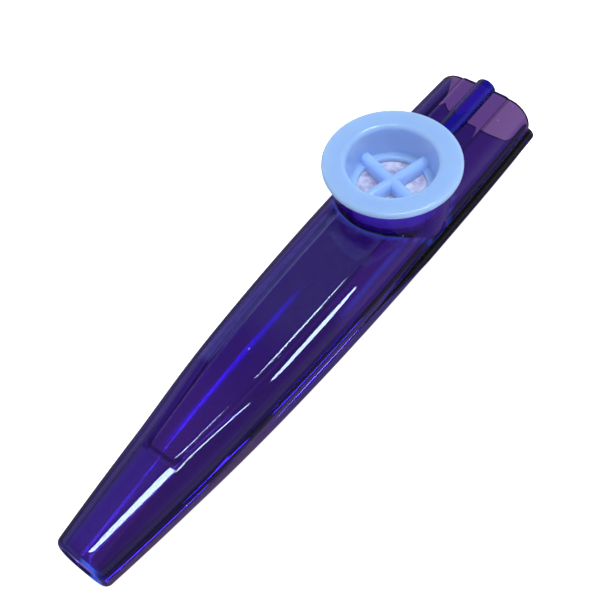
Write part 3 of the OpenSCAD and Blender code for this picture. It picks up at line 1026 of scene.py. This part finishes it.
def bump(nodes, links, source, strength, distance, below=None):
    """A bump from a pattern, on top of another one if given."""
    node = nodes.new("ShaderNodeBump")
    node.inputs["Strength"].default_value = strength
    node.inputs["Distance"].default_value = distance
    links.new(source, node.inputs["Height"])
    if below:
        links.new(below, node.inputs["Normal"])
    return node.outputs["Normal"]


def blended(nodes, links, factor, first, second):
    """A colour between two, by a factor."""
    node = nodes.new("ShaderNodeMix")
    node.data_type = "RGBA"
    links.new(factor, node.inputs["Factor"])
    node.inputs[6].default_value = (*first, 1)
    node.inputs[7].default_value = (*second, 1)
    return node.outputs[2]


def mottled(nodes, links, pattern, first, second, low=0.3, high=0.7):
    """A colour that a pattern blends between two."""
    return blended(nodes, links, spread(nodes, links, pattern.outputs["Fac"], low, high), first, second)


def joined(nodes, links, kind, first, second):
    """Two colours joined, with kind MULTIPLY or ADD."""
    node = nodes.new("ShaderNodeMix")
    node.data_type = "RGBA"
    node.blend_type = kind
    node.inputs["Factor"].default_value = 1.0
    links.new(first, node.inputs[6])
    links.new(second, node.inputs[7])
    return node.outputs[2]


def stored(nodes, name):
    """What a piece stores on its points under a name."""
    node = nodes.new("ShaderNodeAttribute")
    node.attribute_name = name
    return node


def dust_with_painted_light(nodes, links, place):
    """A few pale dust specks on the skin, given as emission, so their paleness is painted light."""
    cells = nodes.new("ShaderNodeTexVoronoi")
    cells.inputs["Scale"].default_value = 260
    links.new(place.outputs["Object"], cells.inputs["Vector"])
    dot = spread(nodes, links, cells.outputs["Distance"], 0.03, 0.05, 1.0, 0.0)
    parts = nodes.new("ShaderNodeSeparateColor")
    links.new(cells.outputs["Color"], parts.inputs["Color"])
    chosen = spread(nodes, links, parts.outputs["Red"], 0.8, 0.95)
    specks = joined(nodes, links, "MULTIPLY", dot, chosen)
    return joined(nodes, links, "MULTIPLY", specks, plain_colour(nodes, finishes().speck_grey))


def plain_colour(nodes, tone):
    """A plain colour as a node's output."""
    node = nodes.new("ShaderNodeRGB")
    node.outputs[0].default_value = (*tone, 1)
    return node.outputs[0]


def clear_plastic():
    """Polished transparent plastic, tinted through its thickness, with faint moulding ripples; the painted
    light stored on its points shows as emission, and the stored darker share, mostly painted shade, darkens
    its tint.
    """
    if "clear_plastic" in bpy.data.materials:
        return bpy.data.materials["clear_plastic"]
    f = finishes()
    material, nodes, links, shader = new_material("clear_plastic")
    place = nodes.new("ShaderNodeTexCoord")
    shader.inputs["IOR"].default_value = 1.5
    shader.inputs["Transmission Weight"].default_value = 1.0
    haze = noise_node(nodes, links, place, 260, 3)
    links.new(spread(nodes, links, haze.outputs["Fac"], 0.35, 0.75, 0.012, 0.05), shader.inputs["Roughness"])
    flow = noise_node(nodes, links, place, 90, 2)
    plain = mottled(nodes, links, flow, (0.97, 0.95, 1), (0.9, 0.88, 0.98))
    # Painted shade: the stored darker share blends the tint towards a darker purple.
    painted_shade_tone = blended(nodes, links, stored(nodes, "darker_tone").outputs["Fac"], (1, 1, 1), f.painted_shade_tint)
    links.new(joined(nodes, links, "MULTIPLY", plain, painted_shade_tone), shader.inputs["Base Color"])
    # Painted light: the stored colour, clouded by noise, with the dust specks, is the emission.
    cloud = noise_node(nodes, links, place, 700, 4, 0.6)
    cloudy = spread(nodes, links, cloud.outputs["Fac"], 0.3, 0.7, 0.75, 1.25)
    lit = joined(nodes, links, "MULTIPLY", stored(nodes, "painted_light").outputs["Color"], cloudy)
    specks = dust_with_painted_light(nodes, links, place)
    links.new(joined(nodes, links, "ADD", lit, specks), shader.inputs["Emission Color"])
    shader.inputs["Emission Strength"].default_value = 1.0
    ripple = noise_node(nodes, links, place, 140, 1)
    links.new(bump(nodes, links, ripple.outputs["Fac"], 0.25, 0.02 * MM), shader.inputs["Normal"])
    volume = nodes.new("ShaderNodeVolumeAbsorption")
    volume.inputs["Color"].default_value = (*f.shell_tint, 1)
    volume.inputs["Density"].default_value = f.shell_depth / MM
    links.new(volume.outputs["Volume"], nodes["Material Output"].inputs["Volume"])
    return material


def cap_plastic():
    """Milky moulded plastic with a soft gloss and a faint grain, which lets some light through, with an even
    painted glow over it.
    """
    f = finishes()
    material, nodes, links, shader = new_material("cap_plastic")
    place = nodes.new("ShaderNodeTexCoord")
    cloud = noise_node(nodes, links, place, 300, 3)
    pale = tuple(min(1, c * 1.01) for c in f.cap_colour)
    darker_tone = tuple(c * 0.98 for c in f.cap_colour)
    links.new(mottled(nodes, links, cloud, darker_tone, pale), shader.inputs["Base Color"])
    grain = noise_node(nodes, links, place, 2500, 2)
    links.new(spread(nodes, links, cloud.outputs["Fac"], 0.3, 0.7, 0.06, 0.12), shader.inputs["Roughness"])
    links.new(bump(nodes, links, grain.outputs["Fac"], 0.1, 0.01 * MM), shader.inputs["Normal"])
    shader.inputs["IOR"].default_value = 1.48
    # Painted light: an even glow over the whole cap.
    shader.inputs["Emission Color"].default_value = (*f.painted_cap_light, 1)
    shader.inputs["Emission Strength"].default_value = 1.0
    shader.inputs["Subsurface Weight"].default_value = 1.0
    shader.inputs["Subsurface Radius"].default_value = (1.0, 0.8, 0.7)
    shader.inputs["Subsurface Scale"].default_value = 5 * MM
    return material


def film_material():
    """Thin crinkled film, milky with darker clouds."""
    f = finishes()
    material, nodes, links, shader = new_material("film")
    place = nodes.new("ShaderNodeTexCoord")
    cloud = noise_node(nodes, links, place, 480, 5, 0.62)
    milky = mottled(nodes, links, cloud, f.film_dark, f.film_light, 0.33, 0.68)
    links.new(milky, shader.inputs["Base Color"])
    crinkle = noise_node(nodes, links, place, 1400, 4)
    links.new(bump(nodes, links, crinkle.outputs["Fac"], 0.4, 0.05 * MM), shader.inputs["Normal"])
    links.new(spread(nodes, links, crinkle.outputs["Fac"], 0.3, 0.7, 0.3, 0.5), shader.inputs["Roughness"])
    return material


def ring_plastic():
    """Plain matt plastic of the film's ring."""
    f = finishes()
    material, nodes, links, shader = new_material("ring_plastic")
    place = nodes.new("ShaderNodeTexCoord")
    grain = noise_node(nodes, links, place, 900, 3)
    pale = tuple(min(1, c * 1.05) for c in f.ring_colour)
    links.new(mottled(nodes, links, grain, f.ring_colour, pale), shader.inputs["Base Color"])
    shader.inputs["Roughness"].default_value = 0.5
    links.new(bump(nodes, links, grain.outputs["Fac"], 0.2, 0.01 * MM), shader.inputs["Normal"])
    return material


def seen_by(nodes, links, ray, plain, other):
    """A shader that is the other one to one kind of ray."""
    path = nodes.new("ShaderNodeLightPath")
    both = nodes.new("ShaderNodeMixShader")
    links.new(path.outputs[ray], both.inputs["Fac"])
    links.new(plain, both.inputs[1])
    links.new(other, both.inputs[2])
    return both.outputs["Shader"]


def light_source(nodes, tone, strength=1.0):
    """A plain glowing surface."""
    node = nodes.new("ShaderNodeEmission")
    node.inputs["Color"].default_value = (*tone, 1)
    node.inputs["Strength"].default_value = strength
    return node


def floor_material():
    """A plain pale floor, white to the eye, and a warmer table to what mirrors it or lets it through."""
    f = finishes()
    material, nodes, links, shader = new_material("floor")
    place = nodes.new("ShaderNodeTexCoord")
    cloud = noise_node(nodes, links, place, 8, 2)
    darker_tone = tuple(c * 0.99 for c in f.floor_colour)
    links.new(mottled(nodes, links, cloud, darker_tone, f.floor_colour), shader.inputs["Base Color"])
    shader.inputs["Roughness"].default_value = 0.9
    shader.inputs["Specular IOR Level"].default_value = 0.0
    path = nodes.new("ShaderNodeLightPath")
    white = light_source(nodes, (1, 1, 1))
    links.new(path.outputs["Is Camera Ray"], white.inputs["Strength"])
    lit = nodes.new("ShaderNodeAddShader")
    links.new(shader.outputs["BSDF"], lit.inputs[0])
    links.new(white.outputs["Emission"], lit.inputs[1])
    table = light_source(nodes, f.table_tone).outputs["Emission"]
    mirrored_table = light_source(nodes, f.mirrored_tone, f.mirrored_strength).outputs["Emission"]
    total = seen_by(nodes, links, "Is Glossy Ray", lit.outputs["Shader"], mirrored_table)
    total = seen_by(nodes, links, "Is Transmission Ray", total, table)
    links.new(total, nodes["Material Output"].inputs["Surface"])
    return material


# Stage


def camera_turn(s):
    """The camera's axes from its yaw, pitch and roll."""
    cos_y, sin_y = math.cos(s.camera_yaw), math.sin(s.camera_yaw)
    cos_p, sin_p = math.cos(s.camera_pitch), math.sin(s.camera_pitch)
    ahead = Vector((cos_y * cos_p, sin_y * cos_p, -sin_p))
    level = Vector((sin_y, -cos_y, 0))
    above = level.cross(ahead)
    cos_r, sin_r = math.cos(s.camera_roll), math.sin(s.camera_roll)
    right = cos_r * level + sin_r * above
    up = cos_r * above - sin_r * level
    return Matrix((right, up, -ahead)).transposed()


def studio_sky(s):
    """Even light, strong from the sides and weak from above, which the camera sees as white."""
    world = bpy.data.worlds.new("studio")
    world.use_nodes = True
    nodes, links = world.node_tree.nodes, world.node_tree.links
    sky = nodes["Background"]
    sky.inputs["Color"].default_value = (*s.sky_colour, 1)
    place = nodes.new("ShaderNodeTexCoord")
    parts = nodes.new("ShaderNodeSeparateXYZ")
    links.new(place.outputs["Generated"], parts.inputs["Vector"])
    fade = spread(nodes, links, parts.outputs["Z"], s.sky_fade_low, s.sky_fade_high, s.sky_low, s.sky_high)
    links.new(fade, sky.inputs["Strength"])
    white = nodes.new("ShaderNodeBackground")
    white.inputs["Color"].default_value = (1, 1, 1, 1)
    total = seen_by(nodes, links, "Is Camera Ray", sky.outputs["Background"], white.outputs["Background"])
    links.new(total, nodes["World Output"].inputs["Surface"])
    return world


def long_lamp(name, s, place, size, turned_by):
    """A soft oval lamp overhead, turned from the body's length."""
    deselect_all()
    bpy.ops.object.light_add(type="AREA", location=(*place, s.lamp_height), rotation=(0, 0, turned_by))
    lamp = bpy.context.object
    lamp.name = name
    lamp.data.shape = "ELLIPSE"
    lamp.data.size, lamp.data.size_y = size
    lamp.data.color = s.lamp_colour
    lamp.data.energy = s.lamp_radiance * math.pi ** 2 / 4 * size[0] * size[1]
    return lamp


class KAZOO_OT_stage(bpy.types.Operator):
    """Lay the pale floor, set the soft light and place the camera"""

    bl_idname = "kazoo.stage"
    bl_label = "Stage"

    def execute(self, context):
        scene, s = context.scene, context.scene.kazoo_stage
        deselect_all()
        bpy.ops.mesh.primitive_plane_add(size=FLOOR_SIZE, location=(0, 0, -FLOOR_DROP))
        floor = context.object
        floor.name = "floor"
        floor.data.materials.append(floor_material())
        scene.world = studio_sky(s)
        front, rear = (s.front_lamp_x, s.front_lamp_y), (s.rear_lamp_x, s.rear_lamp_y)
        long_lamp("front_lamp", s, front, (s.front_lamp_l, s.front_lamp_w), s.front_lamp_turn)
        long_lamp("rear_lamp", s, rear, (s.rear_lamp_l, s.rear_lamp_w), 0)
        bpy.ops.object.camera_add(location=(s.camera_x, s.camera_y, s.camera_z))
        camera = context.object
        camera.name = "camera"
        camera.rotation_mode = "QUATERNION"
        camera.rotation_quaternion = camera_turn(s).to_quaternion()
        camera.data.lens = s.camera_lens
        camera.data.sensor_width = SENSOR
        camera.data.clip_start, camera.data.clip_end = 0.005, 20
        scene.camera = camera
        scene.view_settings.view_transform = "Standard"
        return {"FINISHED"}


class KAZOO_PT_sidebar(bpy.types.Panel):
    """Sizes, colours and steps of the kazoo"""

    bl_idname = "KAZOO_PT_sidebar"
    bl_label = "Kazoo"
    bl_space_type = "VIEW_3D"
    bl_region_type = "UI"
    bl_category = "Kazoo"

    def draw(self, context):
        column = self.layout.column()
        for group in (getattr(context.scene, name) for name in GROUPS):
            for name in group.bl_rna.properties.keys():
                if name not in ("rna_type", "name"):
                    column.prop(group, name)
        for operator in OPERATORS:
            column.operator(operator.bl_idname)


GROUPS = {
    "kazoo_body": KazooBodySizes,
    "kazoo_turret": KazooTurretSizes,
    "kazoo_finishes": KazooFinishes,
    "kazoo_stage": KazooStageSizes,
}
OPERATORS = (
    KAZOO_OT_stage,
    KAZOO_OT_lower_shell,
    KAZOO_OT_upper_shell,
    KAZOO_OT_membrane,
    KAZOO_OT_turret_cap,
)


def register():
    """Registers the classes and puts their settings on the scene."""
    for name, group in GROUPS.items():
        bpy.utils.register_class(group)
        setattr(bpy.types.Scene, name, bpy.props.PointerProperty(type=group))
    for operator in OPERATORS:
        bpy.utils.register_class(operator)
    bpy.utils.register_class(KAZOO_PT_sidebar)


def unregister():
    """Takes the settings and classes away again."""
    bpy.utils.unregister_class(KAZOO_PT_sidebar)
    for operator in reversed(OPERATORS):
        bpy.utils.unregister_class(operator)
    for name, group in reversed(GROUPS.items()):
        delattr(bpy.types.Scene, name)
        bpy.utils.unregister_class(group)


def main():
    """Makes the stage and every piece."""
    register()
    bpy.ops.kazoo.stage()
    bpy.ops.kazoo.lower_shell()
    bpy.ops.kazoo.upper_shell()
    bpy.ops.kazoo.membrane()
    bpy.ops.kazoo.turret_cap()


if __name__ == "__main__":
    main()
